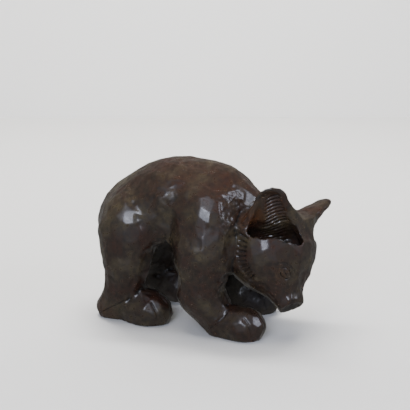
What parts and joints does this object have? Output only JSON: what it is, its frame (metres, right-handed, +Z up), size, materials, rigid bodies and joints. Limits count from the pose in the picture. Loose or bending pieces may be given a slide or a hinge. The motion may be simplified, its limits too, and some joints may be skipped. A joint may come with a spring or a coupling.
{
  "type": "bear cub sculpture",
  "caption": "Standing bear cub carved from one block of dark wood, back arched and head hung low to its right, with cupped ears and knife-cut ruff.",
  "frame": {"origin": "centre of the bounding box on the ground plane under the feet", "axes": "+X towards the head, +Y to the cub's left, +Z up"},
  "size_m": [0.2688, 0.1504, 0.1919],
  "materials": {
    "dark_wood": "close-grained wood, dark brown stain, polished wax over visible knife facets"
  },
  "bodies": {
    "root": {"bear_cub": "dark_wood"}
  },
  "joints": []
}
